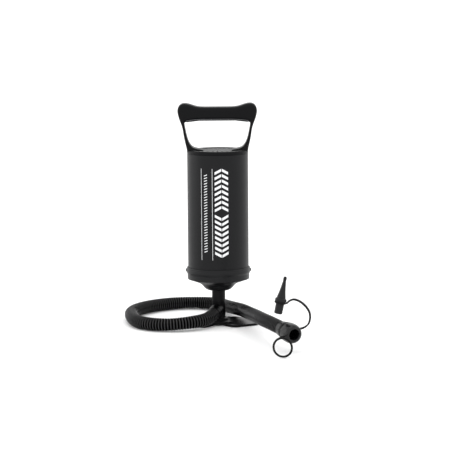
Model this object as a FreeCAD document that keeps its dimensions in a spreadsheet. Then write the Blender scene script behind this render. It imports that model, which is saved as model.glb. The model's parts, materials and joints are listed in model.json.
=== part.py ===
import FreeCAD, Part
import math
import os
import PartDesign
import Sketcher

V = FreeCAD.Vector
doc = FreeCAD.newDocument("hand_pump")
sheet = doc.addObject("Spreadsheet::Sheet", "dims")
sheet.Label = "dims"

# Driving dimensions, mm.
SIZES = {
    # foot
    "foot_half_len": 53.0,
    "foot_tip_half": 18.0,
    "foot_half_wid": 36.0,
    "foot_waist_half": 21.5,
    "foot_waist_x": 8.0,
    "foot_shoulder_x": 20.0,
    "foot_thick": 3.2,
    "foot_mid_top": 5.6,
    "foot_mid_x": 14.0,
    "foot_mid_run": 28.0,
    "foot_mid_half": 20.5,
    "foot_arch_x": 9.0,
    "foot_arch_z": 2.0,
    "foot_arch_flat": 5.0,
    "foot_corner": 6.0,
    "foot_screw_pos": 10.6,
    # rod and elbow
    "rod_rad": 8.9,
    "rod_bore": 5.5,
    "rod_bottom": 31.0,
    "rod_neck_rad": 7.0,
    "rod_neck_bottom": 196.0,
    "rod_top": 218.0,
    "elbow_flange_rad": 12.8,
    "elbow_flange_top": 8.2,
    "elbow_core_rad": 9.0,
    "elbow_plug_rad": 5.44,
    "elbow_plug_top": 45.0,
    "elbow_bore": 3.6,
    "spigot_rad": 5.6,
    # piston
    "piston_bottom": 196.0,
    "piston_split": 205.3,
    "piston_top": 214.6,
    "piston_rad": 36.2,
    "cavity_bottom": 202.0,
    "cavity_top": 208.6,
    "cavity_rad": 28.5,
    "hub_rad": 12.0,
    "hub_bore": 7.02,
    "seal_root": 32.6,
    "seal_bottom": 202.8,
    "seal_top": 207.8,
    "seal_rad": 36.72,
    "lip_root": 32.5,
    "disc_thick": 1.2,
    "disc_lift": 1.2,
    "disc_in": 16.2,
    "disc_out": 27.8,
    "piston_hole_pos": 22.0,
    "piston_hole_rad": 2.2,
    "nut_flats": 22.0,
    "nut_top": 218.6,
    "bumper_top": 221.2,
    "stop_bottom": 189.7,
    # cylinder
    "barrel_rad": 40.5,
    "barrel_bore": 36.8,
    "barrel_bottom": 66.0,
    "barrel_top": 229.0,
    "plug_rad": 36.6,
    "ring_in": 40.56,
    "ring_rad": 42.8,
    "ring_top": 77.2,
    "ring_bottom": 61.2,
    # top cover and handle
    "cap_top": 234.0,
    "cap_under": 226.0,
    "skirt_in": 33.9,
    "skirt_bottom": 216.0,
    "oring_root": 34.7,
    "oring_rad": 36.78,
    "top_hole_pos": 29.8,
    "top_hole_rad": 1.35,
    "valve_in": 25.4,
    "valve_out": 33.4,
    "keeper_in": 18.0,
    "keeper_bottom": 221.5,
    "keeper_ledge": 223.4,
    "grip_half": 52.9,
    "grip_low": 280.4,
    "handle_top": 296.0,
    "grip_lobe_x": 36.0,
    "grip_dip_x": 22.0,
    "grip_dip_z": 291.0,
    "arm_top_x": 48.2,
    "arm_top_z": 269.0,
    "window_low_x": 39.3,
    "window_top_x": 44.3,
    "window_top_z": 270.4,
    "grip_under_x": 24.0,
    "grip_under_z": 272.9,
    "grip_depth": 27.0,
    # bottom cap
    "floor_top": 66.0,
    "neck_bottom": 46.2,
    "neck_hole": 9.8,
    "gland_bore": 12.08,
    "gland_top": 64.0,
    "low_keeper_top": 70.4,
    "low_keeper_ledge": 68.5,
    "low_hole_pos": 29.4,
    "low_hole_rad": 1.6,
    # hose
    "hose_rad": 8.75,
    "hose_bore": 5.7,
    "cuff_rad": 12.3,
    "cuff_bore": 6.9,
    "cuff_len": 26.0,
    "cuff_groove": 9.2,
    "adapter_neck": 4.25,
    "strap_wide": 4.6,
    "strap_thick": 1.9,
    "ring_tube": 1.35,
    "spare_rad": 11.5,
}
for row, (name, size) in enumerate(SIZES.items(), start=1):
    sheet.set("A%d" % row, name)
    sheet.set("B%d" % row, str(size))
    sheet.setAlias("B%d" % row, name)
doc.recompute()


def num(text):
    """Value of a sum of names and numbers, such as "rod_rad + 0.4"."""
    total = 0.0
    sign = 1.0
    for word in str(text).replace("+", " + ").replace("-", " - ").split():
        if word == "+":
            sign = 1.0
        elif word == "-":
            sign = -sign
        else:
            total += sign * (SIZES[word] if word in SIZES else float(word))
            sign = 1.0
    return total


def bound(text):
    """The same sum as an expression on the sheet."""
    words = str(text).replace("+", " + ").replace("-", " - ").split()
    return " ".join("dims." + word if word in SIZES else word for word in words)


def origin_plane(body, role):
    return next(item for item in body.Origin.OriginFeatures if item.Role == role)


def new_body(label):
    body = doc.addObject("PartDesign::Body", label)
    body.Label = label
    return body


def new_sketch(body, plane="XZ_Plane", lift=None):
    sketch = body.newObject("Sketcher::SketchObject", body.Name + "_sketch")
    sketch.AttachmentSupport = [(origin_plane(body, plane), "")]
    sketch.MapMode = "FlatFace"
    if lift is not None:
        sketch.setExpression("AttachmentOffset.Base.z", bound(lift))
    return sketch


def pin_point(sketch, geo, end, across, up):
    """Hold one point of a sketch at two distances from the origin, each bound to the sheet."""
    for kind, text in (("DistanceX", across), ("DistanceY", up)):
        index = sketch.addConstraint(Sketcher.Constraint(kind, -1, 1, geo, end, num(text)))
        sketch.setExpression("Constraints[%d]" % index, bound(text))


def loop_of(sketch, corners):
    """Closed loop of straight lines through corners, every corner bound to the sheet."""
    first = len(sketch.Geometry)
    spots = [V(num(x), num(y), 0) for x, y in corners]
    for here, there in zip(spots, spots[1:] + spots[:1]):
        sketch.addGeometry(Part.LineSegment(here, there), False)
    for step in range(len(spots)):
        after = first + (step + 1) % len(spots)
        sketch.addConstraint(Sketcher.Constraint("Coincident", first + step, 2, after, 1))
    for step, (x, y) in enumerate(corners):
        pin_point(sketch, first + step, 1, x, y)


def turned(label, corners):
    """Body of one closed half-section (radius, height) turned about Z."""
    body = new_body(label)
    sketch = new_sketch(body)
    loop_of(sketch, corners)
    turn = body.newObject("PartDesign::Revolution", label + "_turn")
    turn.Profile = sketch
    turn.ReferenceAxis = (sketch, ["V_Axis"])
    turn.Angle = 360.0
    body.Tip = turn
    doc.recompute()
    return body


def padded(body, plane, corners, depth, lift=None, both=False, name="pad"):
    sketch = new_sketch(body, plane, lift)
    loop_of(sketch, corners)
    pad = body.newObject("PartDesign::Pad", body.Name + "_" + name)
    pad.Profile = sketch
    pad.Length = num(depth)
    pad.setExpression("Length", bound(depth))
    pad.Midplane = both
    body.Tip = pad
    doc.recompute()
    return pad


def through_cut(body, plane, corners, name):
    sketch = new_sketch(body, plane)
    loop_of(sketch, corners)
    cut = body.newObject("PartDesign::Pocket", body.Name + "_" + name)
    cut.Profile = sketch
    cut.Type = 1
    cut.Midplane = True
    before = body.Shape.Volume
    body.Tip = cut
    doc.recompute()
    if body.Shape.Volume > before - 1.0:
        raise RuntimeError("no material cut by " + cut.Name)
    return cut


def drilled(body, spot, radius, top, depth, count, name):
    """Ring of round holes, drilled down from a height."""
    sketch = new_sketch(body, "XY_Plane", top)
    sketch.addGeometry(Part.Circle(V(num(spot), 0, 0), V(0, 0, 1), num(radius)), False)
    pin_point(sketch, 0, 3, spot, "0")
    index = sketch.addConstraint(Sketcher.Constraint("Radius", 0, num(radius)))
    sketch.setExpression("Constraints[%d]" % index, bound(radius))
    cut = body.newObject("PartDesign::Pocket", body.Name + "_" + name)
    cut.Profile = sketch
    cut.Length = depth
    before = body.Shape.Volume
    body.Tip = cut
    doc.recompute()
    if count > 1:
        ring = body.newObject("PartDesign::PolarPattern", body.Name + "_" + name + "_ring")
        ring.Originals = [cut]
        ring.Axis = (origin_plane(body, "Z_Axis"), [""])
        ring.Angle = 360.0
        ring.Occurrences = count
        body.Tip = ring
        doc.recompute()
    expected = 0.5 * count * math.pi * num(radius) ** 2
    if body.Shape.Volume > before - expected:
        raise RuntimeError("holes missing in " + body.Name + " " + name)


def softened(body, picks, radius, name):
    """Fillet on the edges whose middle lies at one of the picked places."""
    tip = body.Tip
    names = []
    for index, edge in enumerate(tip.Shape.Edges, start=1):
        if picks(edge):
            names.append("Edge%d" % index)
    if not names:
        raise RuntimeError("no edge to round for " + name)
    fillet = body.newObject("PartDesign::Fillet", body.Name + "_" + name)
    fillet.Base = (tip, names)
    fillet.Radius = radius
    body.Tip = fillet
    doc.recompute()
    if "Invalid" in fillet.State or fillet.Shape.isNull():
        raise RuntimeError("rounding failed: " + name)


def upright_at(spots, slack=0.6):
    """Picks edges along Z through given (x, y) corners."""
    def picks(edge):
        box = edge.BoundBox
        if box.ZLength < 0.5 or box.XLength > 0.01 or box.YLength > 0.01:
            return False
        return any(abs(box.Center.x - x) < slack and abs(box.Center.y - y) < slack for x, y in spots)
    return picks


def across_at(spots, slack=0.6):
    """Picks edges along Y through given (x, z) corners."""
    def picks(edge):
        box = edge.BoundBox
        if box.YLength < 0.5 or box.XLength > 0.01 or box.ZLength > 0.01:
            return False
        return any(abs(box.Center.x - x) < slack and abs(box.Center.z - z) < slack for x, z in spots)
    return picks


def negated(text):
    """The same sum with every sign turned round."""
    turned_round = {"+": "-", "-": "+"}
    words = text.replace("+", " + ").replace("-", " - ").split()
    return "-" + " ".join(turned_round.get(word, word) for word in words)


def mirrored(corners):
    """Both halves of an outline given for positive x."""
    return corners + [(negated(x), y) for x, y in reversed(corners)]


def shaped(label, shape):
    part = doc.addObject("Part::Feature", label)
    part.Label = label
    part.Shape = shape
    return part


# ---------------------------------------------------------------- foot
foot = new_body("foot_base")
side = [
    ("foot_waist_x", "-foot_waist_half"),
    ("foot_shoulder_x", "-foot_half_wid"),
    ("foot_half_len", "-foot_tip_half"),
    ("foot_half_len", "foot_tip_half"),
    ("foot_shoulder_x", "foot_half_wid"),
    ("foot_waist_x", "foot_waist_half"),
]
padded(foot, "XY_Plane", mirrored(side), "foot_thick")
half = SIZES["foot_half_len"]
tip_corners = [(sx * half, sy * SIZES["foot_tip_half"]) for sx in (1, -1) for sy in (1, -1)]
softened(foot, upright_at(tip_corners), 8.0, "tip_corners")
shoulders = [(sx * SIZES["foot_shoulder_x"], sy * SIZES["foot_half_wid"]) for sx in (1, -1) for sy in (1, -1)]
softened(foot, upright_at(shoulders), 7.0, "shoulder_corners")
waists = [(sx * SIZES["foot_waist_x"], sy * SIZES["foot_waist_half"]) for sx in (1, -1) for sy in (1, -1)]
softened(foot, upright_at(waists), 7.0, "waist_corners")
saddle = mirrored([
    ("foot_mid_run", "foot_thick - 0.6"),
    ("foot_mid_run", "foot_thick"),
    ("foot_mid_x", "foot_mid_top"),
])
padded(foot, "XZ_Plane", saddle, "foot_mid_half + foot_mid_half", both=True, name="saddle")
arch = mirrored([("foot_arch_x", "-1"), ("foot_arch_x", "0"), ("foot_arch_flat", "foot_arch_z")])
through_cut(foot, "XZ_Plane", arch, "arch")
drilled(foot, "foot_screw_pos", "1.7", "foot_mid_top + 1", 9.0, 4, "screw_holes")
drilled(foot, "foot_screw_pos", "2.8", "4.4", 9.0, 4, "screw_heads")

# ---------------------------------------------------------------- outlet elbow
SPIGOT = V(-0.30, -0.93, -0.22)
SPIGOT.normalize()
SPIGOT_ROOT = V(0, 0, 21.0)
core = turned("outlet_elbow_core", [
    ("0", "foot_mid_top"), ("elbow_flange_rad", "foot_mid_top"), ("elbow_flange_rad", "elbow_flange_top"),
    ("elbow_core_rad + 0.6", "elbow_flange_top + 0.6"), ("elbow_core_rad", "elbow_flange_top + 1.6"),
    ("elbow_core_rad", "rod_bottom"), ("elbow_plug_rad", "rod_bottom"), ("elbow_plug_rad", "elbow_plug_top"),
    ("elbow_bore", "elbow_plug_top"), ("elbow_bore", "15"), ("0", "15"),
]).Shape.copy()
spigot = Part.makeCylinder(SIZES["spigot_rad"], 27.0, SPIGOT_ROOT, SPIGOT)
collar = Part.makeCylinder(8.2, 13.4, SPIGOT_ROOT, SPIGOT)
barb = Part.makeCone(SIZES["spigot_rad"] + 0.06, SIZES["spigot_rad"] - 0.9, 3.0, SPIGOT_ROOT + SPIGOT * 24.0, SPIGOT)
air = Part.makeCylinder(SIZES["elbow_bore"], 40.0, SPIGOT_ROOT, SPIGOT)
elbow_shape = core.fuse([collar, spigot, barb]).cut(air)
for spin in range(4):
    angle = math.radians(90.0 * spin)
    spot = V(SIZES["foot_screw_pos"] * math.cos(angle), SIZES["foot_screw_pos"] * math.sin(angle), 4.0)
    elbow_shape = elbow_shape.cut(Part.makeCylinder(1.15, 4.2, spot))
doc.removeObject("outlet_elbow_core_turn")
for item in list(doc.getObject("outlet_elbow_core").Group):
    doc.removeObject(item.Name)
doc.removeObject("outlet_elbow_core")
shaped("outlet_elbow", elbow_shape.removeSplitter())

SCREW_PROFILE = [
    ("0", "0"), ("2.2", "0"), ("2.6", "0.4"), ("2.6", "2.0"), ("1.1", "2.0"), ("1.1", "5.6"), ("0", "5.6"),
]
for spin in range(4):
    screw = turned("foot_screw_%d" % (spin + 1), SCREW_PROFILE)
    angle = math.radians(90.0 * spin)
    screw.Placement.Base = V(10.6 * math.cos(angle), 10.6 * math.sin(angle), 2.4)

# ---------------------------------------------------------------- rod and piston
turned("rod_tube", [
    ("rod_bore", "rod_bottom"), ("rod_rad", "rod_bottom"), ("rod_rad", "rod_neck_bottom"),
    ("rod_neck_rad", "rod_neck_bottom"), ("rod_neck_rad", "rod_top"), ("4.2", "rod_top"),
    ("4.2", "rod_neck_bottom"), ("rod_bore", "rod_neck_bottom - 2"),
])
rod = doc.getObject("rod_tube")
port = rod.newObject("Sketcher::SketchObject", "rod_port_sketch")
port.AttachmentSupport = [(origin_plane(rod, "XZ_Plane"), "")]
port.MapMode = "FlatFace"
port.addGeometry(Part.Circle(V(0, 203.6, 0), V(0, 0, 1), 1.4), False)
port_cut = rod.newObject("PartDesign::Pocket", "rod_port_cut")
port_cut.Profile = port
port_cut.Type = 1
port_cut.Midplane = True
rod.Tip = port_cut
doc.recompute()

low_half = turned("piston_lower", [
    ("hub_bore", "piston_bottom"), ("piston_rad - 1", "piston_bottom"), ("piston_rad", "piston_bottom + 1"),
    ("piston_rad", "seal_bottom - 0.1"), ("seal_root - 0.1", "seal_bottom - 0.1"), ("seal_root - 0.1", "piston_split"),
    ("cavity_rad", "piston_split"), ("cavity_rad", "cavity_bottom"), ("hub_rad", "cavity_bottom"),
    ("hub_rad", "piston_split"), ("hub_bore", "piston_split"),
])
drilled(low_half, "piston_hole_pos", "piston_hole_rad", "cavity_bottom + 0.5", 8.0, 8, "air_holes")
hub_port = new_sketch(low_half)
hub_port.addGeometry(Part.Circle(V(0, 203.6, 0), V(0, 0, 1), 1.4), False)
hub_cut = low_half.newObject("PartDesign::Pocket", "hub_port_cut")
hub_cut.Profile = hub_port
hub_cut.Length = 26.0
hub_cut.Midplane = True
low_half.Tip = hub_cut
doc.recompute()

top_half = turned("piston_upper", [
    ("hub_bore", "piston_split"), ("hub_rad", "piston_split"), ("hub_rad", "cavity_top"),
    ("cavity_rad", "cavity_top"), ("cavity_rad", "piston_split"), ("seal_root - 0.1", "piston_split"),
    ("seal_root - 0.1", "seal_top + 0.1"), ("piston_rad", "seal_top + 0.1"), ("piston_rad", "piston_top - 1"),
    ("piston_rad - 1", "piston_top"), ("hub_bore", "piston_top"),
])
drilled(top_half, "piston_hole_pos", "piston_hole_rad", "piston_top + 0.5", 8.0, 8, "air_holes")

turned("piston_seal", [
    ("seal_root", "seal_bottom"), ("seal_rad - 0.5", "seal_bottom"), ("seal_rad", "seal_bottom + 0.7"),
    ("seal_rad - 0.4", "seal_bottom + 2.5"), ("seal_rad", "seal_top - 0.7"), ("seal_rad - 0.5", "seal_top"),
    ("seal_root", "seal_top"),
])
spacer = turned("valve_spacer", [
    ("hub_rad + 0.1", "204.6"), ("cavity_rad - 0.1", "204.6"), ("cavity_rad - 0.1", "206"), ("hub_rad + 0.1", "206"),
])
drilled(spacer, "piston_hole_pos", "3.2", "206.5", 3.0, 8, "windows")


def disc(label, r_in, r_out, bottom):
    return turned(label, [
        (r_in, bottom), (r_out, bottom), (r_out, bottom + " + disc_thick"), (r_in, bottom + " + disc_thick"),
    ])


disc("outlet_disc_lower", "disc_in", "disc_out - 0.4", "cavity_bottom + 0.05")
disc("outlet_disc_upper", "disc_in", "disc_out - 0.4", "206.05")

nut = new_body("piston_nut")
flat_rad = SIZES["nut_flats"] / math.sqrt(3.0)
hexagon = []
for corner in range(6):
    angle = math.radians(60.0 * corner)
    hexagon.append(("%.4f" % (flat_rad * math.cos(angle)), "%.4f" % (flat_rad * math.sin(angle))))
padded(nut, "XY_Plane", hexagon, "nut_top - piston_top", lift="piston_top")
drilled(nut, "0", "hub_bore", "nut_top + 0.5", 6.0, 1, "thread")

turned("top_bumper", [
    ("0", "rod_top - 5"), ("4.1", "rod_top - 5"), ("4.1", "rod_top"), ("hub_bore", "rod_top"),
    ("hub_bore", "nut_top"), ("10.2", "nut_top"), ("10.2", "bumper_top - 0.8"), ("9.4", "bumper_top"),
    ("0", "bumper_top"),
])
turned("stroke_stop_ring", [
    ("rod_rad + 0.02", "stop_bottom"), ("12.5", "stop_bottom"), ("13", "stop_bottom + 0.6"),
    ("13", "piston_bottom - 0.6"), ("12.5", "piston_bottom"), ("rod_rad + 0.02", "piston_bottom"),
])

# ---------------------------------------------------------------- sliding cylinder
turned("barrel", [
    ("barrel_bore", "barrel_bottom"), ("barrel_rad", "barrel_bottom"), ("barrel_rad", "barrel_top - 0.5"),
    ("barrel_rad - 0.5", "barrel_top"), ("barrel_bore", "barrel_top"),
])

cap = turned("handle_cap", [
    ("0", "cap_under"), ("valve_in - 0.6", "cap_under"), ("skirt_in", "cap_under"), ("skirt_in", "skirt_bottom"),
    ("plug_rad", "skirt_bottom"), ("plug_rad", "skirt_bottom + 3.9"), ("oring_root - 0.1", "skirt_bottom + 3.9"),
    ("oring_root - 0.1", "skirt_bottom + 6.1"), ("plug_rad", "skirt_bottom + 6.1"), ("plug_rad", "barrel_top"),
    ("barrel_rad - 0.5", "barrel_top"), ("barrel_rad", "barrel_top + 0.5"), ("barrel_rad", "cap_top - 1.4"),
    ("barrel_rad - 1.4", "cap_top"), ("35", "cap_top"), ("34.4", "cap_top - 0.8"), ("0", "cap_top - 0.8"),
])
loop = mirrored([
    ("barrel_rad - 1", "barrel_top + 1.2"), ("arm_top_x", "arm_top_z"), ("grip_half", "grip_low"),
    ("grip_half", "handle_top"), ("grip_lobe_x", "handle_top"), ("grip_dip_x", "grip_dip_z"),
])
padded(cap, "XZ_Plane", loop, "grip_depth", both=True, name="loop")
g = SIZES
both_sides = (1, -1)
softened(cap, across_at([(sx * g["grip_half"], g["handle_top"]) for sx in both_sides]), 9.5, "lobes")
softened(cap, across_at([(sx * g["grip_half"], g["grip_low"]) for sx in both_sides]), 9.0, "grip_ends")
softened(cap, across_at([(sx * g["arm_top_x"], g["arm_top_z"]) for sx in both_sides]), 10.0, "arm_bends")
softened(cap, across_at([(sx * g["grip_lobe_x"], g["handle_top"]) for sx in both_sides]), 14.0, "lobe_ends")
softened(cap, across_at([(sx * g["grip_dip_x"], g["grip_dip_z"]) for sx in both_sides]), 14.0, "dip_ends")
window = mirrored([
    ("14", "cap_top"), ("20", "cap_top + 1"), ("27", "cap_top + 2"), ("window_low_x - 5.9", "cap_top + 4"),
    ("window_low_x - 3.2", "cap_top + 6.4"), ("window_low_x - 1.4", "cap_top + 9"), ("window_low_x", "cap_top + 12"),
    ("window_top_x - 2", "window_top_z - 12.4"), ("window_top_x", "window_top_z"),
    ("window_top_x - 5", "window_top_z + 0.6"), ("grip_under_x", "grip_under_z"),
])
through_cut(cap, "XZ_Plane", window, "window")
softened(cap, across_at([(sx * g["window_top_x"], g["window_top_z"]) for sx in both_sides]), 3.0, "window_tops")
slot = mirrored([("41", "grip_under_z - 8"), ("41", "276.6")])
pocket = new_sketch(cap)
loop_of(pocket, slot)
slot_cut = cap.newObject("PartDesign::Pocket", "handle_cap_slot")
slot_cut.Profile = pocket
slot_cut.Length = 20.0
slot_cut.Midplane = True
cap.Tip = slot_cut
doc.recompute()
drilled(cap, "top_hole_pos", "top_hole_rad", "cap_top + 1", 12.0, 24, "intake_holes")

# Lower half of the grip, set into its slot.
cover = new_body("grip_cover")
cover_side = [
    ("-40.8", "276.4"), ("-40.8", "window_top_z + 0.7"), ("-39.3", "window_top_z + 0.7"),
    ("-grip_under_x", "grip_under_z"), ("grip_under_x", "grip_under_z"), ("39.3", "window_top_z + 0.7"),
    ("40.8", "window_top_z + 0.7"), ("40.8", "276.4"),
]
padded(cover, "XZ_Plane", cover_side, "19.8", both=True)
for index, spot in enumerate((34.0, -34.0), start=1):
    hole = cover.newObject("Sketcher::SketchObject", "cover_hole_%d" % index)
    hole.AttachmentSupport = [(origin_plane(cover, "XY_Plane"), "")]
    hole.MapMode = "FlatFace"
    hole.AttachmentOffset.Base = V(0, 0, 280.0)
    hole.addGeometry(Part.Circle(V(spot, 0, 0), V(0, 0, 1), 1.3), False)
    cut = cover.newObject("PartDesign::Pocket", "cover_cut_%d" % index)
    cut.Profile = hole
    cut.Type = 1
    cover.Tip = cut
    doc.recompute()

turned("top_oring", [
    ("oring_root", "skirt_bottom + 4"), ("oring_rad - 0.4", "skirt_bottom + 4"), ("oring_rad", "skirt_bottom + 4.6"),
    ("oring_rad", "skirt_bottom + 5.4"), ("oring_rad - 0.4", "skirt_bottom + 6"), ("oring_root", "skirt_bottom + 6"),
])
top_keeper = turned("top_valve_keeper", [
    ("keeper_in", "keeper_bottom"), ("valve_out - 0.2", "keeper_bottom"), ("valve_out - 0.2", "keeper_ledge"),
    ("valve_in - 0.6", "keeper_ledge"), ("valve_in - 0.6", "cap_under"), ("keeper_in", "cap_under"),
])
drilled(top_keeper, "top_hole_pos", "2.3", "keeper_ledge + 0.5", 5.0, 16, "windows")
drilled(top_keeper, "21.4", "1.3", "cap_under + 0.5", 6.0, 3, "screw_holes")
drilled(top_keeper, "21.4", "2.4", "keeper_bottom + 1.5", 3.0, 3, "screw_heads")
disc("top_intake_disc", "valve_in", "valve_out", "keeper_ledge + 0.05")

bottom = turned("bottom_cap", [
    ("neck_hole", "neck_bottom"), ("14.4", "neck_bottom"), ("17.0", "neck_bottom + 1.2"), ("19.3", "49.6"),
    ("21", "51.8"), ("23.4", "54.2"), ("26.4", "56"), ("30.5", "57.5"), ("36.3", "59.7"), ("39.2", "61.0"),
    ("barrel_rad", "62.4"),
    ("barrel_rad", "floor_top"), ("plug_rad", "floor_top"), ("plug_rad", "floor_top + 5.9"),
    ("oring_root - 0.1", "floor_top + 5.9"), ("oring_root - 0.1", "floor_top + 8.1"),
    ("plug_rad", "floor_top + 8.1"), ("plug_rad", "floor_top + 9.6"), ("skirt_in", "floor_top + 9.6"),
    ("skirt_in", "floor_top"), ("gland_bore", "floor_top"), ("gland_bore", "neck_bottom + 1.8"),
    ("neck_hole", "neck_bottom + 1.8"),
])
drilled(bottom, "low_hole_pos", "low_hole_rad", "floor_top + 0.5", 12.0, 16, "intake_holes")
turned("bottom_oring", [
    ("oring_root", "floor_top + 6"), ("oring_rad - 0.4", "floor_top + 6"), ("oring_rad", "floor_top + 6.6"),
    ("oring_rad", "floor_top + 7.4"), ("oring_rad - 0.4", "floor_top + 8"), ("oring_root", "floor_top + 8"),
])
disc("bottom_intake_disc", "valve_in", "valve_out", "floor_top + 0.05")
low_keeper = turned("bottom_valve_keeper", [
    ("gland_bore + 2", "floor_top"), ("valve_in - 0.6", "floor_top"), ("valve_in - 0.6", "low_keeper_ledge"),
    ("valve_out - 0.2", "low_keeper_ledge"), ("valve_out - 0.2", "low_keeper_top"), ("rod_rad + 0.6", "low_keeper_top"),
    ("rod_rad + 0.6", "gland_top + 2.6"), ("gland_bore + 2", "gland_top + 2.6"),
])
drilled(low_keeper, "low_hole_pos", "2.3", "low_keeper_top + 0.5", 5.0, 16, "windows")
drilled(low_keeper, "20.6", "1.3", "low_keeper_top + 0.5", 6.0, 3, "screw_holes")
for spin in range(3):
    angle = math.radians(120.0 * spin)
    screw = turned("top_keeper_screw_%d" % (spin + 1), [
        ("0", "0"), ("1.9", "0"), ("2.2", "0.3"), ("2.2", "1.5"), ("1.2", "1.5"), ("1.2", "4.4"), ("0", "4.4"),
    ])
    screw.Placement.Base = V(21.4 * math.cos(angle), 21.4 * math.sin(angle), g["keeper_bottom"])

turned("locking_ring", [
    ("ring_in", "ring_bottom"), ("ring_in + 0.5", "ring_bottom"), ("ring_in + 0.8", "ring_bottom + 7"),
    ("ring_rad", "ring_bottom + 9.8"), ("ring_rad", "ring_top - 2.4"), ("ring_rad - 0.6", "ring_top - 2"),
    ("ring_rad - 0.9", "ring_top - 0.6"), ("ring_rad - 1.4", "ring_top"), ("ring_in", "ring_top"),
])
for label, turn in (("ring_clip_left", 180.0), ("ring_clip_right", 0.0)):
    clip = new_body(label)
    padded(clip, "XZ_Plane", [
        ("ring_rad", "ring_top - 6"), ("ring_rad + 0.9", "ring_top - 5.6"), ("ring_rad + 0.9", "ring_top - 3"),
        ("ring_rad", "ring_top - 2.6"),
    ], "7", both=True)
    clip.Placement.Rotation = FreeCAD.Rotation(V(0, 0, 1), turn)

# Guide and seal that ride on the rod inside the neck.
turned("rod_guide_bush", [
    ("rod_rad + 0.06", "neck_bottom + 2.1"), ("gland_bore - 0.08", "neck_bottom + 2.1"), ("gland_bore - 0.08", "58"),
    ("rod_rad + 0.06", "58"),
])
turned("rod_seal", [
    ("rod_rad + 0.05", "58"), ("gland_bore - 0.08", "58"), ("gland_bore - 0.08", "63.4"),
    ("rod_rad + 1.6", "63.4"), ("rod_rad + 1.2", "61.4"), ("rod_rad + 0.05", "62.4"),
])

# ---------------------------------------------------------------- hose
ROUTE = [
    SPIGOT_ROOT + SPIGOT * 17.0,
    SPIGOT_ROOT + SPIGOT * 40.0,
    V(-35.4, -57.6, 11.4),
    V(-72.1, -61.9, 8.9),
    V(-105, -42.5, 8.9),
    V(-117, -1, 8.9),
    V(-120.4, 46, 8.9),
    V(-96, 91.5, 8.9),
    V(-47.5, 120.5, 8.9),
    V(-2, 107.5, 8.9),
    V(16.7, 56.2, 12.0),
    V(32.4, 6.8, 16.6),
    V(40.2, -43.8, 21.1),
    V(48.9, -91, 25.3),
    V(56.4, -133.1, 28.3),
    V(67.8, -168.1, 29.1),
    V(82, -196.5, 26.3),
]


def rounded_path(points):
    """Straight runs joined by tangent arcs, each as large as its two runs allow."""
    edges = []
    radii = []
    start = points[0]
    for before, here, after in zip(points, points[1:], points[2:]):
        arrive = here - before
        leave = after - here
        reach = 0.45 * min(arrive.Length, leave.Length)
        turn = arrive.getAngle(leave)
        arrive.normalize()
        leave.normalize()
        entry = here - arrive * reach
        out = here + leave * reach
        radius = reach / math.tan(turn / 2)
        inward = (leave - arrive).normalize()
        middle = here + inward * (radius / math.cos(turn / 2) - radius)
        edges.append(Part.LineSegment(start, entry).toShape())
        edges.append(Part.Arc(entry, middle, out).toShape())
        radii.append(radius)
        start = out
    edges.append(Part.LineSegment(start, points[-1]).toShape())
    return Part.Wire(edges), radii


def tube_along(wire, start, ahead, outer, inner):
    """Round tube swept along a wire."""
    shapes = []
    for radius in (outer, inner):
        ring = Part.Wire([Part.makeCircle(radius, start, ahead)])
        shapes.append(wire.makePipeShell([ring], True, False))
    return shapes[0].cut(shapes[1])


path, radii = rounded_path(ROUTE)
first_run = ROUTE[1] - ROUTE[0]
hose = tube_along(path, ROUTE[0], first_run, g["hose_rad"] - 0.35, g["hose_bore"])
shaped("hose", hose)
section = math.pi * ((g["hose_rad"] - 0.35) ** 2 - g["hose_bore"] ** 2)
print("hose length %.1f radii %s" % (path.Length, " ".join("%.0f" % r for r in radii)))
print("hose volume ratio %.4f lowest %.2f" % (hose.Volume / (section * path.Length), hose.BoundBox.ZMin))

# Smooth cuff over the spigot.
INLET_START = SPIGOT_ROOT + SPIGOT * 13.5
inlet = Part.makeCylinder(g["hose_rad"] + 0.1, 9.0, INLET_START, SPIGOT)
inlet = inlet.fuse(Part.makeCylinder(g["hose_rad"] + 0.4, 2.2, INLET_START, SPIGOT))
inlet = inlet.cut(Part.makeCylinder(g["spigot_rad"] + 0.06, 3.5, INLET_START, SPIGOT))
inlet = inlet.cut(Part.makeCylinder(g["hose_rad"] - 0.29, 6.0, SPIGOT_ROOT + SPIGOT * 17.0, SPIGOT))
shaped("hose_inlet_cuff", inlet)

# Cuff at the free end.
END = ROUTE[-1]
AHEAD = (ROUTE[-1] - ROUTE[-2]).normalize()


def lathe_on(points, base, ahead):
    """Half-section (radius, distance) turned about a slanting axis."""
    spots = [V(r, 0, d) for r, d in points]
    face = Part.Face(Part.makePolygon(spots + spots[:1]))
    solid = face.revolve(V(0, 0, 0), V(0, 0, 1), 360)
    solid.Placement = FreeCAD.Placement(base, FreeCAD.Rotation(V(0, 0, 1), ahead))
    return solid


cuff_rad = g["cuff_rad"]
cuff_bore = g["cuff_bore"]
cuff_groove = g["cuff_groove"]
cuff_len = g["cuff_len"]
sleeve = g["hose_rad"] + 0.95
end_cuff = lathe_on([
    (g["hose_rad"] - 0.29, -6), (sleeve - 0.4, -6), (sleeve, -5.4), (sleeve, 2.2), (11.0, 2.6), (11.0, 4.4),
    (cuff_groove, 4.8), (cuff_groove, 9.2), (cuff_rad - 0.7, 9.8), (cuff_rad, 11.4), (cuff_rad, 18.6),
    (cuff_rad - 0.4, 21), (cuff_rad - 1.4, 24), (cuff_rad - 2.9, 25.6), (cuff_rad - 3.9, cuff_len),
    (cuff_bore + 0.9, cuff_len), (cuff_bore, 25.2), (cuff_bore, 12), (cuff_bore + 0.6, 11.4), (cuff_bore + 0.6, 8),
    (g["hose_bore"], 6), (g["hose_bore"], 0), (g["hose_rad"] - 0.29, 0),
], END, AHEAD)
shaped("hose_end_cuff", end_cuff)

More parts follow.
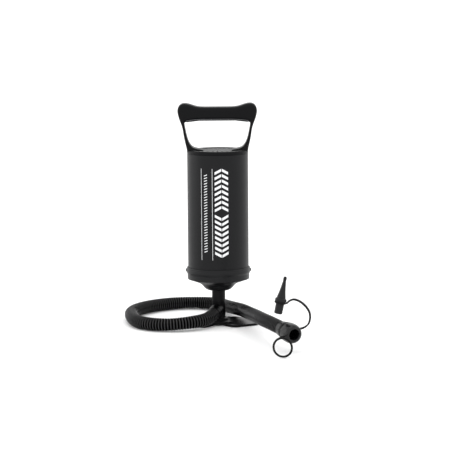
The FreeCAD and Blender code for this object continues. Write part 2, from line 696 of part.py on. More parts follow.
# Tether: collar round the cuff, strap, ring round the adapter and a spare ring, one rubber moulding.
SIDE = V(0, 0, 1).cross(AHEAD).normalize()
RISE = AHEAD.cross(SIDE).normalize()
COLLAR_MID = END + AHEAD * 7.0
collar_ring = lathe_on([
    (cuff_groove + 0.05, 5.0), (11.3, 5.0), (11.3, 9.0), (cuff_groove + 0.05, 9.0),
], END, AHEAD)
ADAPTER_FOOT = V(73.8, -206, 48.6)
ADAPTER_TIP = V(83.0, -206, 94.6)
LEAN = (ADAPTER_TIP - ADAPTER_FOOT).normalize()
NECK = ADAPTER_FOOT + LEAN * 14.3
strap_route = [
    NECK + V(7.3, 0, -1.9),
    V(88.6, -206, 66.0),
    V(97.0, -208, 66.4),
    V(107.6, -210, 59.2),
    V(114.4, -211, 47.5),
    V(110.0, -210, 30.5),
    COLLAR_MID + SIDE * 10.6 + RISE * 1.2,
]
strap_path, strap_radii = rounded_path(strap_route)
print("strap length %.1f radii %s" % (strap_path.Length, " ".join("%.0f" % r for r in strap_radii)))
ahead = (strap_route[1] - strap_route[0]).normalize()
flat = V(0, 1, 0)
up = ahead.cross(flat).normalize()
flat = up.cross(ahead).normalize()
wide = g["strap_wide"] / 2
thick = g["strap_thick"] / 2
corners = [strap_route[0] + flat * (a * wide) + up * (b * thick) for a, b in ((1, 1), (-1, 1), (-1, -1), (1, -1))]
section = Part.makePolygon(corners + corners[:1])
strap = strap_path.makePipeShell([section], True, True)
neck = g["adapter_neck"]
neck_ring = lathe_on([(neck + 0.06, -1.4), (7.2, -1.4), (7.2, 1.4), (neck + 0.06, 1.4)], NECK, LEAN)
SPARE_AXIS = V(0.22, -0.92, 0.38).normalize()
SPARE_MID = V(78.3, -241.0, 12.9)
spare = Part.makeTorus(g["spare_rad"], g["ring_tube"], SPARE_MID, SPARE_AXIS)
spare_side = V(0, 0, 1).cross(SPARE_AXIS).normalize()
spare_up = SPARE_AXIS.cross(spare_side).normalize()
tab_from = SPARE_MID + spare_side * (-0.5 * g["spare_rad"]) + spare_up * (0.866 * g["spare_rad"])
tab_to = COLLAR_MID - SIDE * 7.8 - RISE * 6.8
tab = Part.makeCylinder(1.2, (tab_to - tab_from).Length, tab_from, tab_to - tab_from)
tether = collar_ring.fuse([strap, neck_ring, spare, tab])
cuff_space = lathe_on([
    (0, -12), (sleeve + 0.4, -12), (sleeve + 0.4, 2), (11.4, 2.4), (11.4, 4.9), (cuff_groove + 0.05, 4.9),
    (cuff_groove + 0.05, 9.1), (cuff_rad + 0.35, 9.1), (cuff_rad + 0.35, 28), (0, 28),
], END, AHEAD)
tether = tether.cut(cuff_space)
shaped("adapter_tether", tether)

adapter = lathe_on([
    (1.0, 0), (4.8, 0), (5.2, 0.6), (5.2, 12.2), (neck, 12.8), (neck, 15.8), (6.9, 15.8), (7.1, 16.2), (7.1, 18.6),
    (6.6, 19.2), (5.5, 19.6), (5.3, 21.5), (4.0, 27.6), (3.0, 33.8), (1.95, 41.3), (2.15, 43.2), (2.1, 45.3),
    (1.6, 46.6), (1.0, 46.9),
], ADAPTER_FOOT, LEAN)
shaped("valve_adapter", adapter)

# ---------------------------------------------------------------- check and write
doc.recompute()
os.makedirs("parts", exist_ok=True)
PARTS = [
    item for item in doc.Objects
    if item.TypeId in ("PartDesign::Body", "Part::Feature") and item.getParentGeoFeatureGroup() is None
]
for item in doc.Objects:
    if "Invalid" in item.State or "Error" in item.State:
        raise RuntimeError("bad object " + item.Name)
for item in PARTS:
    shape = item.Shape
    if shape.isNull() or not shape.isValid() or len(shape.Solids) != 1:
        raise RuntimeError("bad shape %s solids %d" % (item.Label, len(shape.Solids)))
for item in PARTS:
    item.Shape.exportStep("parts/%s.step" % item.Label)
    box = item.Shape.BoundBox
    print("%-22s %8.1f mm3  z %.1f..%.1f" % (item.Label, item.Shape.Volume, box.ZMin, box.ZMax))
print(len(PARTS), "parts")
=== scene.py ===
import json
import math

import bmesh
import bpy
from mathutils import Matrix, Vector


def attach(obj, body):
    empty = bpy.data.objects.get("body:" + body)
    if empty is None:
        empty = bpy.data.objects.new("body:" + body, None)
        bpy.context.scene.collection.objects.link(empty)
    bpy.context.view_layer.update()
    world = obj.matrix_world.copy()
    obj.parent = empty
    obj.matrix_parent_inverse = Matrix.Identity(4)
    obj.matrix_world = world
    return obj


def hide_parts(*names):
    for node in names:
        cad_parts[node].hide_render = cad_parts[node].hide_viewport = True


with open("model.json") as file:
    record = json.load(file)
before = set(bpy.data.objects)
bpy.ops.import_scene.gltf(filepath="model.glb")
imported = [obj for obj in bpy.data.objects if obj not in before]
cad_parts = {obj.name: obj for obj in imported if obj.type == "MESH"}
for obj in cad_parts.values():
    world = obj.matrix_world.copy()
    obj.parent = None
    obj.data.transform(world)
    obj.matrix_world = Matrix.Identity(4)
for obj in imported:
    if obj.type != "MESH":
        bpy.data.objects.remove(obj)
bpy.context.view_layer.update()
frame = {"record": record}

MM = 0.001


def mm(*values):
    return Vector([v * MM for v in values])


# ---------------------------------------------------------------- camera
camera_data = bpy.data.cameras.new("view")
camera = bpy.data.objects.new("view", camera_data)
bpy.context.scene.collection.objects.link(camera)
bpy.context.scene.camera = camera
camera_data.sensor_width = 36.0
camera_data.lens = 151.1
camera_data.clip_start = 0.1
camera_data.clip_end = 50.0
camera.location = mm(9.2, -2500, 450)
look = Matrix.Rotation(math.radians(90 - 7.23), 4, "X") @ Matrix.Rotation(math.radians(-0.42), 4, "Z")
camera.rotation_euler = look.to_euler()

# ---------------------------------------------------------------- measures, mm
HOSE_RAD = 8.75
SPIGOT = Vector((-0.30, -0.93, -0.22)).normalized()
SPIGOT_ROOT = Vector((0, 0, 21.0))
ROUTE = [
    SPIGOT_ROOT + SPIGOT * 17.0,
    SPIGOT_ROOT + SPIGOT * 40.0,
    Vector((-35.4, -57.6, 11.4)),
    Vector((-72.1, -61.9, 8.9)),
    Vector((-105, -42.5, 8.9)),
    Vector((-117, -1, 8.9)),
    Vector((-120.4, 46, 8.9)),
    Vector((-96, 91.5, 8.9)),
    Vector((-47.5, 120.5, 8.9)),
    Vector((-2, 107.5, 8.9)),
    Vector((16.7, 56.2, 12.0)),
    Vector((32.4, 6.8, 16.6)),
    Vector((40.2, -43.8, 21.1)),
    Vector((48.9, -91, 25.3)),
    Vector((56.4, -133.1, 28.3)),
    Vector((67.8, -168.1, 29.1)),
    Vector((82, -196.5, 26.3)),
]
END = ROUTE[-1]
AHEAD = (ROUTE[-1] - ROUTE[-2]).normalized()
SIDE = Vector((0, 0, 1)).cross(AHEAD).normalized()
RISE = AHEAD.cross(SIDE).normalized()
ADAPTER_FOOT = Vector((73.8, -206, 48.6))
ADAPTER_TIP = Vector((83.0, -206, 94.6))
LEAN = (ADAPTER_TIP - ADAPTER_FOOT).normalized()
BARREL_RAD = 40.5


# ---------------------------------------------------------------- materials
def plastic(name, base, rough, grain=1400.0, grain_depth=0.25, mottle=0.10, edge=0.35, gloss=0.25):
    """Moulded plastic: faint colour variation, uneven sheen, fine grain and paler edges, which stand for wear
    and, on parts given a high edge value, a painted highlight.
    """
    material = bpy.data.materials.new(name)
    material.use_nodes = True
    tree = material.node_tree
    shader = tree.nodes["Principled BSDF"]
    place = tree.nodes.new("ShaderNodeTexCoord")
    cloud = tree.nodes.new("ShaderNodeTexNoise")
    cloud.inputs["Scale"].default_value = 26.0
    cloud.inputs["Detail"].default_value = 4.0
    tree.links.new(place.outputs["Object"], cloud.inputs["Vector"])
    tint = tree.nodes.new("ShaderNodeMix")
    tint.data_type = "RGBA"
    tint.inputs["A"].default_value = [c * (1 - mottle) for c in base] + [1]
    tint.inputs["B"].default_value = [c * (1 + mottle) for c in base] + [1]
    tree.links.new(cloud.outputs["Fac"], tint.inputs["Factor"])
    geometry = tree.nodes.new("ShaderNodeNewGeometry")
    # Paler convex edges: wear, plus a painted highlight on the rims of parts given a high edge value.
    wear_and_highlight_mask = tree.nodes.new("ShaderNodeMapRange")
    wear_and_highlight_mask.inputs["From Min"].default_value = 0.52
    wear_and_highlight_mask.inputs["From Max"].default_value = 0.62
    wear_and_highlight_mask.inputs["To Min"].default_value = 0.0
    wear_and_highlight_mask.inputs["To Max"].default_value = edge
    tree.links.new(geometry.outputs["Pointiness"], wear_and_highlight_mask.inputs["Value"])
    paler = tree.nodes.new("ShaderNodeMix")
    paler.data_type = "RGBA"
    paler.inputs["B"].default_value = [min(1.0, c * 2.4 + 0.01) for c in base] + [1]
    tree.links.new(tint.outputs["Result"], paler.inputs["A"])
    tree.links.new(wear_and_highlight_mask.outputs["Result"], paler.inputs["Factor"])
    tree.links.new(paler.outputs["Result"], shader.inputs["Base Color"])
    sheen = tree.nodes.new("ShaderNodeTexNoise")
    sheen.inputs["Scale"].default_value = 95.0
    sheen.inputs["Detail"].default_value = 6.0
    tree.links.new(place.outputs["Object"], sheen.inputs["Vector"])
    dull = tree.nodes.new("ShaderNodeMapRange")
    dull.inputs["To Min"].default_value = max(0.05, rough - 0.06)
    dull.inputs["To Max"].default_value = rough + 0.06
    tree.links.new(sheen.outputs["Fac"], dull.inputs["Value"])
    tree.links.new(dull.outputs["Result"], shader.inputs["Roughness"])
    speck = tree.nodes.new("ShaderNodeTexNoise")
    speck.inputs["Scale"].default_value = grain
    speck.inputs["Detail"].default_value = 2.0
    tree.links.new(place.outputs["Object"], speck.inputs["Vector"])
    bump = tree.nodes.new("ShaderNodeBump")
    bump.inputs["Strength"].default_value = grain_depth
    bump.inputs["Distance"].default_value = 0.00012
    tree.links.new(speck.outputs["Fac"], bump.inputs["Height"])
    tree.links.new(bump.outputs["Normal"], shader.inputs["Normal"])
    shader.inputs["IOR"].default_value = 1.49
    shader.inputs["Specular IOR Level"].default_value = gloss
    return material


def metal(name, base, rough):
    """Zinc plated steel with fine turning marks."""
    material = plastic(name, base, rough, grain=2600.0, grain_depth=0.15, mottle=0.05, edge=0.2)
    material.node_tree.nodes["Principled BSDF"].inputs["Metallic"].default_value = 1.0
    return material


BODY = plastic("body_plastic", (0.0062, 0.0064, 0.0071), 0.40, gloss=0.15)
RING = plastic("ring_plastic", (0.0068, 0.0070, 0.0077), 0.38, gloss=0.17)
COVER = plastic("cover_plastic", (0.0042, 0.0043, 0.0048), 0.38, gloss=0.08)
# Lip plastic: its pale colour paints the highlight along the grip's lower lip.
LIP_HIGHLIGHT = plastic("lip_painted_highlight", (0.055, 0.056, 0.060), 0.40, gloss=0.45)
DARK = plastic("dark_plastic", (0.0020, 0.0020, 0.0023), 0.32, gloss=0.07)
# Hose valley and crest are one real plastic: the valley copy is painted near black as shade in the grooves,
# the crest copy painted lighter and glossier as a highlight.
HOSE_VALLEY_SHADE = plastic("hose_valley_painted_shade", (0.0006, 0.0006, 0.0007), 0.50, grain=900.0, grain_depth=0.10,
               edge=0.0, gloss=0.0)
CREST_HIGHLIGHT = plastic("hose_crest_painted_highlight", (0.0075, 0.0075, 0.0082), 0.16, grain=900.0, grain_depth=0.10,
                edge=0.0, gloss=0.38)
RUBBER = plastic("rubber", (0.0040, 0.0040, 0.0044), 0.50, grain=1100.0, grain_depth=0.5, gloss=0.12)
NOZZLE = plastic("adapter_plastic", (0.0070, 0.0072, 0.0080), 0.34, gloss=0.20)
# Cuff plastic: its high edge value paints pale highlights on the cuff's rims.
CUFF = plastic("cuff_plastic", (0.0034, 0.0034, 0.0038), 0.26, edge=0.9, gloss=0.30)
INNER = plastic("inner_plastic", (0.36, 0.36, 0.35), 0.45, gloss=0.5)
PRINT = plastic("print_ink", (0.74, 0.75, 0.76), 0.55, grain=2200.0, grain_depth=0.3, mottle=0.05, edge=0.0)
STEEL = metal("steel", (0.55, 0.55, 0.54), 0.32)


# ---------------------------------------------------------------- mesh helpers
def make_piece(name, verts, faces, material, body, sharp=35.0):
    """Mesh object from points in mm."""
    mesh = bpy.data.meshes.new(name)
    mesh.from_pydata([Vector(v) * MM for v in verts], [], faces)
    work = bmesh.new()
    work.from_mesh(mesh)
    bmesh.ops.remove_doubles(work, verts=work.verts, dist=1e-7)
    bmesh.ops.recalc_face_normals(work, faces=work.faces)
    work.to_mesh(mesh)
    work.free()
    mesh.shade_smooth()
    mesh.set_sharp_from_angle(angle=math.radians(sharp))
    mesh.materials.append(material)
    piece = bpy.data.objects.new(name, mesh)
    bpy.context.scene.collection.objects.link(piece)
    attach(piece, body)
    return piece


def eased(points, radius, closed=True, steps=4):
    """Outline with each corner rounded off."""
    out = []
    count = len(points)
    for index, point in enumerate(points):
        here = Vector(point)
        if not closed and index in (0, count - 1):
            out.append(here)
            continue
        before = Vector(points[index - 1])
        after = Vector(points[(index + 1) % count])
        to_before = before - here
        to_after = after - here
        if to_before.length < 1e-6 or to_after.length < 1e-6:
            out.append(here)
            continue
        turn = math.pi - to_before.angle(to_after)
        if turn < 0.12:
            out.append(here)
            continue
        reach = min(radius * math.tan(turn / 2), 0.45 * to_before.length, 0.45 * to_after.length)
        start = here + to_before.normalized() * reach
        stop = here + to_after.normalized() * reach
        for step in range(steps + 1):
            t = step / steps
            out.append(start * (1 - t) ** 2 + here * (2 * t * (1 - t)) + stop * t ** 2)
    return out


def lathe(name, profile, material, body, base=Vector((0, 0, 0)), axis=Vector((0, 0, 1)),
          radius=0.6, segments=144, closed=True, sharp=35.0):
    """Closed half-section (radius, height) turned about an axis, with its corners eased."""
    line = eased(profile, radius, closed)
    turn = Vector((0, 0, 1)).rotation_difference(axis)
    verts = []
    for r, height in line:
        for k in range(segments):
            angle = 2 * math.pi * k / segments
            spot = Vector((r * math.cos(angle), r * math.sin(angle), height))
            verts.append(base + turn @ spot)
    faces = []
    rows = len(line)
    for row in range(rows if closed else rows - 1):
        nxt = (row + 1) % rows
        for k in range(segments):
            k2 = (k + 1) % segments
            faces.append((row * segments + k, row * segments + k2, nxt * segments + k2, nxt * segments + k))
    return make_piece(name, verts, faces, material, body, sharp)


def spline_points(name, points, resolution=40):
    """Points read from a smooth line through given control points."""
    data = bpy.data.curves.new(name, "CURVE")
    data.dimensions = "3D"
    line = data.splines.new("NURBS")
    line.points.add(len(points) - 1)
    for spot, point in zip(line.points, points):
        spot.co = (*(Vector(point) * MM), 1.0)
    line.order_u = 3
    line.use_endpoint_u = True
    line.resolution_u = resolution
    carrier = bpy.data.objects.new(name, data)
    bpy.context.scene.collection.objects.link(carrier)
    mesh = bpy.data.meshes.new_from_object(carrier)
    found = [v.co.copy() / MM for v in mesh.vertices]
    bpy.data.objects.remove(carrier)
    bpy.data.curves.remove(data)
    bpy.data.meshes.remove(mesh)
    return found


def evenly(points, pitch):
    """The same line stepped at an even pitch."""
    lengths = [0.0]
    for a, b in zip(points, points[1:]):
        lengths.append(lengths[-1] + (b - a).length)
    total = lengths[-1]
    count = max(2, round(total / pitch))
    out = []
    at = 0
    for step in range(count + 1):
        want = total * step / count
        while at < len(points) - 2 and lengths[at + 1] < want:
            at += 1
        span = lengths[at + 1] - lengths[at]
        t = (want - lengths[at]) / span if span > 0 else 0.0
        out.append(points[at].lerp(points[at + 1], min(max(t, 0.0), 1.0)))
    return out, total


def frames_along(points, first_side):
    """Directions across a line, carried along it without twist."""
    out = []
    side = Vector(first_side)
    for index in range(len(points)):
        a = points[max(index - 1, 0)]
        b = points[min(index + 1, len(points) - 1)]
        ahead = (b - a).normalized()
        side = (side - ahead * side.dot(ahead)).normalized()
        out.append((side.copy(), ahead.cross(side).normalized()))
    return out


def wall_faces(rings, count):
    """Quads between one ring of points and the next."""
    return [(row * count + k, row * count + (k + 1) % count,
             (row + 1) * count + (k + 1) % count, (row + 1) * count + k)
            for row in range(rings - 1) for k in range(count)]


def swept(name, points, sections, first_side, material, body, sharp=60.0):
    """Closed skin through a ring of points at each place along a line."""
    frames = frames_along(points, first_side)
    verts = []
    for point, (side, up), ring in zip(points, frames, sections):
        for a, b in ring:
            verts.append(point + side * a + up * b)
    count = len(sections[0])
    faces = wall_faces(len(points), count)
    faces.append(tuple(range(count))[::-1])
    faces.append(tuple((len(points) - 1) * count + k for k in range(count)))
    return make_piece(name, verts, faces, material, body, sharp)


def round_section(radius, count=40):
    return [(radius * math.cos(2 * math.pi * k / count), radius * math.sin(2 * math.pi * k / count))
            for k in range(count)]


def soft_box(half_a, half_b, radius, steps=4):
    """Rounded rectangle as a ring of points."""
    radius = min(radius, half_a * 0.98, half_b * 0.98)
    ring = []
    for sa, sb, start in ((1, 1, 0), (-1, 1, 90), (-1, -1, 180), (1, -1, 270)):
        for step in range(steps + 1):
            angle = math.radians(start + 90 * step / steps)
            ring.append((sa * (half_a - radius) + radius * math.cos(angle),
                         sb * (half_b - radius) + radius * math.sin(angle)))
    return ring


# ---------------------------------------------------------------- hose
hose_line = spline_points("hose_line", ROUTE, 60)
RIB_PITCH = 3.6
RIB_DEPTH = 1.25
RIB_STEPS = 10
RIB_CURVE = 0.8
HOSE_SIDES = 44
CREST_HIGHLIGHT_SHARE = 0.20
hose_points, hose_length = evenly(hose_line, RIB_PITCH / RIB_STEPS)
sections = []
for index in range(len(hose_points)):
    along = index * RIB_PITCH / RIB_STEPS
    wave = 0.5 + 0.5 * math.cos(2 * math.pi * along / RIB_PITCH)
    sections.append(round_section(HOSE_RAD - RIB_DEPTH * (1 - wave) ** RIB_CURVE, HOSE_SIDES))
hose = swept("hose_ribbed", hose_points, sections, (0, 0, 1), HOSE_VALLEY_SHADE, "foot", sharp=80.0)
# Faces near each rib crest get the painted-highlight copy, the rest get the painted-shade valley copy.
hose.data.materials.append(CREST_HIGHLIGHT)
for face in hose.data.polygons:
    rows = [vertex // HOSE_SIDES for vertex in face.vertices]
    phase = (sum(rows) / len(rows) / RIB_STEPS) % 1.0
    face.material_index = 1 if min(phase, 1.0 - phase) < CREST_HIGHLIGHT_SHARE else 0
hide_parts("hose")

inlet = lathe("inlet_cuff", [
    (5.7, 13.5), (9.15, 13.5), (9.2, 15.6), (8.95, 16.1), (8.9, 22.1), (8.3, 22.5), (5.9, 22.5),
], DARK, "foot", SPIGOT_ROOT, SPIGOT, 0.4)
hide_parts("hose_inlet_cuff")

end_cuff = lathe("end_cuff", [
    (8.5, -6), (9.3, -6), (9.7, -5.4), (9.7, 2.0), (10.8, 2.4), (11.0, 2.9), (11.0, 4.2), (10.6, 4.6),
    (9.2, 4.9), (9.2, 9.1), (11.4, 9.6), (12.0, 10.4), (12.3, 11.6), (12.3, 17.6),
    (12.1, 20), (11.5, 22.6), (10.4, 24.8),
    (9.2, 25.9), (8.4, 26), (7.8, 26), (6.9, 25.2), (6.9, 12), (7.5, 11.4), (7.5, 8), (5.8, 6), (5.8, 0),
    (8.5, 0),
], CUFF, "foot", END, AHEAD, 0.5)
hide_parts("hose_end_cuff")

# Tether: collar, strap, neck ring and spare ring in one rubber moulding.
NECK = ADAPTER_FOOT + LEAN * 14.3
COLLAR_MID = END + AHEAD * 7.0
collar = lathe("tether_collar", [(9.25, 5.0), (11.3, 5.0), (11.3, 9.0), (9.25, 9.0)],
               RUBBER, "foot", END, AHEAD, 0.8)
neck_ring = lathe("tether_neck_ring", [(4.31, -1.4), (7.2, -1.4), (7.2, 1.4), (4.31, 1.4)],
                  RUBBER, "foot", NECK, LEAN, 0.5, 72)
strap_line = spline_points("strap_line", [
    NECK + Vector((7.3, 0, -1.9)), Vector((88.6, -206, 66.0)), Vector((97.0, -208, 66.4)),
    Vector((107.6, -210, 59.2)), Vector((114.4, -211, 47.5)), Vector((110.0, -210, 30.5)),
    COLLAR_MID + SIDE * 10.6 + RISE * 1.2,
])
strap_points, _ = evenly(strap_line, 0.8)
strap = swept("tether_strap", strap_points, [soft_box(2.3, 0.95, 0.5)] * len(strap_points), (0, 1, 0),
              RUBBER, "foot")
SPARE_RAD = 11.5
SPARE_TUBE = 1.35
SPARE_MID = Vector((78.3, -241.0, 12.9))
SPARE_AXIS = Vector((0.22, -0.92, 0.38)).normalized()
spare_side = Vector((0, 0, 1)).cross(SPARE_AXIS).normalized()
spare_up = SPARE_AXIS.cross(spare_side).normalized()
spare_ring = lathe("tether_spare_ring",
                   [(SPARE_RAD + SPARE_TUBE * math.cos(math.radians(a)),
                     SPARE_TUBE * math.sin(math.radians(a))) for a in range(0, 360, 24)],
                   RUBBER, "foot", SPARE_MID, SPARE_AXIS, 0.1, 96, sharp=80.0)
tab_points, _ = evenly([
    SPARE_MID - spare_side * (0.5 * SPARE_RAD) + spare_up * (0.866 * SPARE_RAD),
    COLLAR_MID - SIDE * 7.8 - RISE * 6.8,
], 0.8)
tab = swept("tether_tab", tab_points, [soft_box(1.6, 1.0, 0.6)] * len(tab_points), (1, 0, 0),
            RUBBER, "foot")
for item in (collar, neck_ring, strap, spare_ring, tab):
    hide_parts("adapter_tether")

nozzle = lathe("adapter_nozzle", [
    (1.0, 0), (4.6, 0), (5.05, 0.7), (5.2, 3.0), (4.95, 3.4), (4.95, 4.2), (5.2, 4.6), (5.2, 12.2),
    (4.25, 12.8), (4.25, 15.8), (6.9, 15.8), (7.1, 16.3), (7.1, 18.5), (6.6, 19.2),
    (5.6, 19.6), (5.35, 21.5), (4.0, 27.6),
    (3.0, 33.8), (2.0, 41.0), (2.0, 41.8), (2.2, 43.2), (2.15, 45.2), (1.6, 46.6), (1.0, 46.9),
], NOZZLE, "valve_adapter", ADAPTER_FOOT, LEAN, 0.35, 96)
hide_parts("valve_adapter")

# ---------------------------------------------------------------- barrel and its print
barrel = lathe("barrel_shell", [(36.8, 66), (BARREL_RAD, 66), (BARREL_RAD, 229), (36.8, 229)],
               BODY, "cylinder", radius=0.45, segments=256)
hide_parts("barrel")


INK_SUNK = 0.03
INK_PROUD = 0.045


def printed(name, outlines):
    """Ink shapes (mm along the curve, height) laid on the barrel."""
    verts = []
    faces = []
    for outline in outlines:
        (s0, z0), (s1, z1), (s2, z2), (s3, z3) = outline
        steps = max(1, round(abs(s1 - s0)))
        start = len(verts)
        for radius in (BARREL_RAD - INK_SUNK, BARREL_RAD + INK_PROUD):
            for step in range(steps + 1):
                t = step / steps
                for s, z in ((s0 + (s1 - s0) * t, z0 + (z1 - z0) * t),
                             (s3 + (s2 - s3) * t, z3 + (z2 - z3) * t)):
                    angle = s / BARREL_RAD
                    verts.append((radius * math.sin(angle), -radius * math.cos(angle), z))
        layer = 2 * (steps + 1)
        for step in range(steps):
            a = start + 2 * step
            faces.append((a, a + 2, a + 3, a + 1))
            b = a + layer
            faces.append((b, b + 1, b + 3, b + 2))
            faces.append((a, b, b + 2, a + 2))
            faces.append((a + 1, a + 3, b + 3, b + 1))
        faces.append((start, start + 1, start + layer + 1, start + layer))
        last = start + 2 * steps
        faces.append((last, last + layer, last + layer + 1, last + 1))
    return make_piece(name, verts, faces, PRINT, "cylinder")


def bar(s0, s1, z0, z1, slant=0.0):
    """Four corners of one mark: two places along the curve, two heights, and a lean."""
    return ((s0, z0), (s1, z0 + slant), (s1, z1 + slant), (s0, z1))


marks = [bar(-22.9, -22.4, 91, 212), bar(-7.5, -7.0, 91, 212)]
height = 101.0
while height < 202.0:
    marks.append(bar(-18.6, -14.2, height, height + 1.1, 1.6))
    height += 3.6
height = 94.5
while height < 145.5:
    marks.append(bar(-4.0, 4.6, height + 4.5, height + 8.0, -4.5))
    marks.append(bar(5.6, 13.9, height, height + 3.5, 4.5))
    height += 7.0
height = 155.0
while height < 204.5:
    marks.append(bar(-4.0, 4.6, height, height + 3.5, 4.5))
    marks.append(bar(5.6, 13.9, height + 4.5, height + 8.0, -4.5))
    height += 7.0
printed("print_marks", marks)

# ---------------------------------------------------------------- bottom of the cylinder
ring = lathe("ring_shell", [
    (40.56, 61.2), (41.0, 61.2), (41.3, 62.0), (41.4, 68.2), (42.6, 70.6), (42.8, 71.4), (42.8, 74.6),
    (42.2, 75.1), (42.2, 75.6), (42.4, 76.0), (41.9, 76.9), (41.3, 77.4), (40.56, 77.4),
], RING, "cylinder", radius=0.5, segments=256)
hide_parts("locking_ring")
base_cap = lathe("base_cap", [
    (9.8, 46.2), (14.4, 46.2), (17.0, 47.4), (19.3, 49.6), (21.0, 51.8), (23.4, 54.2), (26.4, 56.0),
    (30.5, 57.5), (36.3, 59.7), (39.2, 61.0), (40.4, 62.4), (40.5, 66), (36.6, 66), (36.6, 75.6),
    (33.9, 75.6), (33.9, 66), (12.08, 66), (12.08, 48.0), (9.8, 48.0),
], RING, "cylinder", radius=1.4, segments=256)
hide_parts("bottom_cap")


def clip_block(name, turn, node):
    """Small snap on the side of the ring."""
    spin = Matrix.Rotation(turn, 3, "Z")
    ring_points = soft_box(3.5, 1.7, 0.7)
    verts = []
    for depth, shrink in ((-0.4, 1.0), (0.5, 1.0), (0.8, 0.88), (0.9, 0.7)):
        for a, b in ring_points:
            verts.append(spin @ Vector((42.8 + depth, a * shrink, 72.9 + b * shrink)))
    count = len(ring_points)
    faces = [tuple(range(count))] + wall_faces(4, count)
    faces.append(tuple(3 * count + k for k in range(count)))
    piece = make_piece(name, verts, faces, RING, "cylinder")
    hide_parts(node)


clip_block("clip_right", 0.0, "ring_clip_right")
clip_block("clip_left", math.pi, "ring_clip_left")

# ---------------------------------------------------------------- top cover and handle loop
cover = lathe("top_cover", [
    (1.0, 226), (33.9, 226), (33.9, 216), (36.6, 216), (36.6, 229), (40.1, 229), (40.5, 229.5), (40.5, 232.6),
    (39.1, 234), (35.2, 234), (34.6, 233.2), (1.0, 233.2),
], COVER, "cylinder", radius=0.7, segments=192)
HOLE_COUNT = 24
HOLE_CIRCLE = 29.8
HOLE_RAD = 1.35
cutter_mesh = bpy.data.meshes.new("cutter")
cut = bmesh.new()
for k in range(HOLE_COUNT):
    angle = 2 * math.pi * k / HOLE_COUNT
    at = Matrix.Translation(mm(HOLE_CIRCLE * math.cos(angle), HOLE_CIRCLE * math.sin(angle), 230))
    bmesh.ops.create_cone(cut, cap_ends=True, segments=20, radius1=HOLE_RAD * MM, radius2=HOLE_RAD * MM,
                          depth=14 * MM, matrix=at)
cut.to_mesh(cutter_mesh)
cut.free()
cutter = bpy.data.objects.new("cutter", cutter_mesh)
bpy.context.scene.collection.objects.link(cutter)
holes = cover.modifiers.new("holes", "BOOLEAN")
holes.operation = "DIFFERENCE"
holes.solver = "EXACT"
holes.object = cutter
bpy.context.view_layer.update()
holed = bpy.data.meshes.new_from_object(cover.evaluated_get(bpy.context.evaluated_depsgraph_get()))
cover.modifiers.clear()
cover.data = holed
bpy.data.objects.remove(cutter)

LOOP_HALF = [
    # outer x, outer z, inner x, inner z
    (40.1, 229.6, 17.0, 232.6),
    (40.4, 232.2, 19.0, 234.9),
    (40.8, 235.0, 26.0, 235.9),
    (41.3, 237.8, 30.5, 236.9),
    (42.0, 240.6, 33.0, 238.2),
    (42.8, 244.2, 35.6, 240.8),
    (43.8, 248.6, 38.0, 244.8),
    (44.7, 254.0, 40.1, 250.8),
    (45.5, 260.0, 41.6, 257.6),
    (46.5, 265.0, 42.9, 264.2),
    (47.9, 269.2, 43.7, 268.8),
    (49.6, 273.0, 43.4, 270.2),
    (51.0, 277.0, 42.6, 270.7),
    (52.2, 281.4, 41.8, 271.0),
    (52.9, 285.8, 41.2, 271.2),
    (52.1, 290.4, 40.2, 271.4),
    (49.7, 293.9, 39.0, 271.6),
    (46.3, 295.8, 37.4, 271.9),
    (42.6, 296.0, 35.6, 272.2),
    (38.4, 295.4, 33.6, 272.6),
    (34.0, 294.0, 31.2, 273.0),
    (29.4, 292.4, 28.0, 273.3),
    (24.6, 291.3, 24.4, 273.6),
    (18.0, 291.0, 18.0, 273.7),
    (9.0, 291.0, 9.0, 273.8),
    (0.0, 291.0, 0.0, 273.8),
]
GRIP_DEPTH = 13.3
stations = LOOP_HALF + [(-a, b, -c, d) for a, b, c, d in reversed(LOOP_HALF[:-1])]
verts = []
for ox, oz, ix, iz in stations:
    outer = Vector((ox, 0, oz))
    inner = Vector((ix, 0, iz))
    wide = (outer - inner).length / 2
    middle = (outer + inner) / 2
    across = (outer - inner).normalized()
    waist = max(0.0, min(1.0, (268.0 - oz) / 20.0))
    flare = max(0.0, min(1.0, (244.0 - oz) / 12.0))
    depth = GRIP_DEPTH - 1.6 * waist + 1.4 * flare
    for a, b in soft_box(wide, depth, 5.2 if wide > 6 else 1.8 + 0.4 * wide, 6):
        verts.append(middle + across * a + Vector((0, 1, 0)) * b)
count = len(soft_box(5, 5, 1, 6))
faces = [tuple(range(count))] + wall_faces(len(stations), count)
faces.append(tuple((len(stations) - 1) * count + k for k in range(count)))
loop = make_piece("handle_loop", verts, faces, COVER, "cylinder", sharp=70.0)
smooth = loop.modifiers.new("smooth", "SUBSURF")
smooth.levels = 2
smooth.render_levels = 2
for item in (cover, loop):
    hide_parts("handle_cap")

# Lower half of the grip: its lip shows as a thin raised line along both sides, painted pale as a highlight.
for sign, side_name in ((-1, "front"), (1, "back")):
    lip_points, _ = evenly([Vector((x, sign * 13.4, z)) for x, z in (
        (-41, 273.0), (-36, 273.8), (-30, 274.5), (-20, 275.0), (20, 275.0), (30, 274.5),
        (36, 273.8), (41, 273.0),
    )], 1.5)
    lip = swept("grip_lip_" + side_name, lip_points, [soft_box(0.8, 0.5, 0.3)] * len(lip_points), (0, 1, 0),
                LIP_HIGHLIGHT, "cylinder")

# ---------------------------------------------------------------- carried-over parts
SLOT_LOOK = {
    "body_plastic": BODY,
    "dark_plastic": DARK,
    "inner_plastic": INNER,
    "rubber": RUBBER,
    "hose": HOSE_VALLEY_SHADE,
    "adapter_plastic": NOZZLE,
    "steel": STEEL,
}
for entry in frame["record"]["subparts"]:
    part = bpy.data.objects.get(entry["node"])
    if part is None:
        continue
    part.data.materials.clear()
    part.data.materials.append(SLOT_LOOK[entry["material_slot"]])

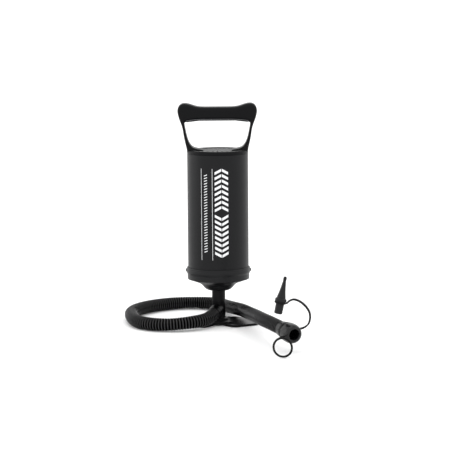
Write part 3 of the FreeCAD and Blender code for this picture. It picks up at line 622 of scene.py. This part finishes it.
for node, width in (("foot_base", 0.9), ("outlet_elbow", 0.4)):
    part = bpy.data.objects.get(node)
    if part is not None:
        edge = part.modifiers.new("edge", "BEVEL")
        edge.width = width * MM
        edge.segments = 3
        edge.limit_method = "ANGLE"
        edge.angle_limit = math.radians(30)

# ---------------------------------------------------------------- floor and light
def stage_plane(name, corners, shade):
    mesh = bpy.data.meshes.new(name)
    mesh.from_pydata(corners, [], [(0, 1, 2, 3)])
    material = bpy.data.materials.new(name)
    material.use_nodes = True
    tree = material.node_tree
    shader = tree.nodes["Principled BSDF"]
    shader.inputs["Roughness"].default_value = 0.9
    cloud = tree.nodes.new("ShaderNodeTexNoise")
    cloud.inputs["Scale"].default_value = 3.0
    ramp = tree.nodes.new("ShaderNodeMapRange")
    ramp.inputs["To Min"].default_value = shade - 0.01
    ramp.inputs["To Max"].default_value = shade + 0.01
    tree.links.new(cloud.outputs["Fac"], ramp.inputs["Value"])
    tree.links.new(ramp.outputs["Result"], shader.inputs["Base Color"])
    mesh.materials.append(material)
    plane = bpy.data.objects.new(name, mesh)
    bpy.context.scene.collection.objects.link(plane)
    return plane


FLOOR_HALF = 30
FLOOR_SHADE = 0.93
stage_plane("floor", [(-FLOOR_HALF, -FLOOR_HALF, 0), (FLOOR_HALF, -FLOOR_HALF, 0),
                      (FLOOR_HALF, FLOOR_HALF, 0), (-FLOOR_HALF, FLOOR_HALF, 0)], FLOOR_SHADE)


def area_light(name, place, target, size, power):
    data = bpy.data.lights.new(name, "AREA")
    data.shape = "RECTANGLE"
    data.size = size[0]
    data.size_y = size[1]
    data.energy = power
    lamp = bpy.data.objects.new(name, data)
    lamp.location = place
    lamp.rotation_euler = (Vector(target) - Vector(place)).to_track_quat("-Z", "Y").to_euler()
    bpy.context.scene.collection.objects.link(lamp)


area_light("left_box", (-1.9, 0.1, 0.8), (0, 0, 0.15), (0.6, 1.4), 4)
area_light("top_box", (0, -0.3, 2.0), (0, 0, 0.1), (1.4, 1.4), 3)
world = bpy.data.worlds.new("studio")
bpy.context.scene.world = world
world.use_nodes = True
world.node_tree.nodes["Background"].inputs["Color"].default_value = (1, 1, 1, 1)
world.node_tree.nodes["Background"].inputs["Strength"].default_value = 1.45
bpy.context.scene.view_settings.view_transform = "Standard"
